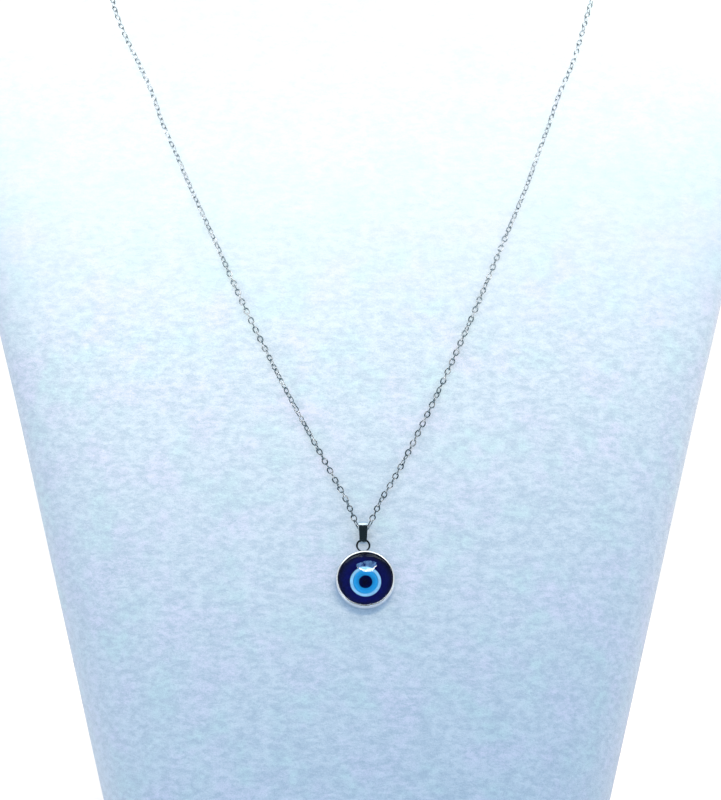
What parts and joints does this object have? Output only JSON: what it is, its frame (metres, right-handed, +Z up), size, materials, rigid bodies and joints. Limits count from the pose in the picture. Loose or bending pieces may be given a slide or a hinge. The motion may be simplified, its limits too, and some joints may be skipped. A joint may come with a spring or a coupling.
{
  "type": "evil eye pendant necklace on a neck bust",
  "caption": "Small round evil eye pendant with a glass dome, hanging by a folded bail from a fine cable chain laid round a velvet neck bust.",
  "frame": {"origin": "middle of the bust's base, on the surface that it stands on", "axes": "+Z up, -Y out of the chest, +X to the right as seen from in front"},
  "size_m": [0.2066, 0.125, 0.27],
  "materials": {
    "pale_blue_velvet": "short flocked pile, matt with a soft sheen",
    "chain_metal": "bright plated wire",
    "clasp_metal": "bright plated, turned",
    "bail_metal": "bright rolled strip",
    "setting_metal": "bright polished",
    "navy_print": "gloss, under glass",
    "white_print": "gloss, under glass",
    "light_blue_print": "gloss, under glass",
    "black_print": "gloss, under glass",
    "clear_glass": "clear, polished"
  },
  "bodies": {
    "stand": {"neck_bust": "pale_blue_velvet", "chain": "chain_metal", "clasp": "clasp_metal"},
    "bail": {"bail": "bail_metal"},
    "pendant": {"setting": "setting_metal", "eye_field": "navy_print", "eye_white": "white_print", "eye_blue": "light_blue_print", "eye_pupil": "black_print", "glass_dome": "clear_glass"}
  },
  "joints": [
    {"name": "bail_swing", "type": "hinge", "parent": "stand", "child": "bail", "pos_m": [0.00156, -0.0332, 0.08054], "axis": [-1, 0, 0], "range_deg": [0, 90]},
    {"name": "pendant_swing", "type": "hinge", "parent": "bail", "child": "pendant", "pos_m": [0.00156, -0.03361, 0.07766], "axis": [-1, 0, 0], "range_deg": [0, 60]}
  ]
}
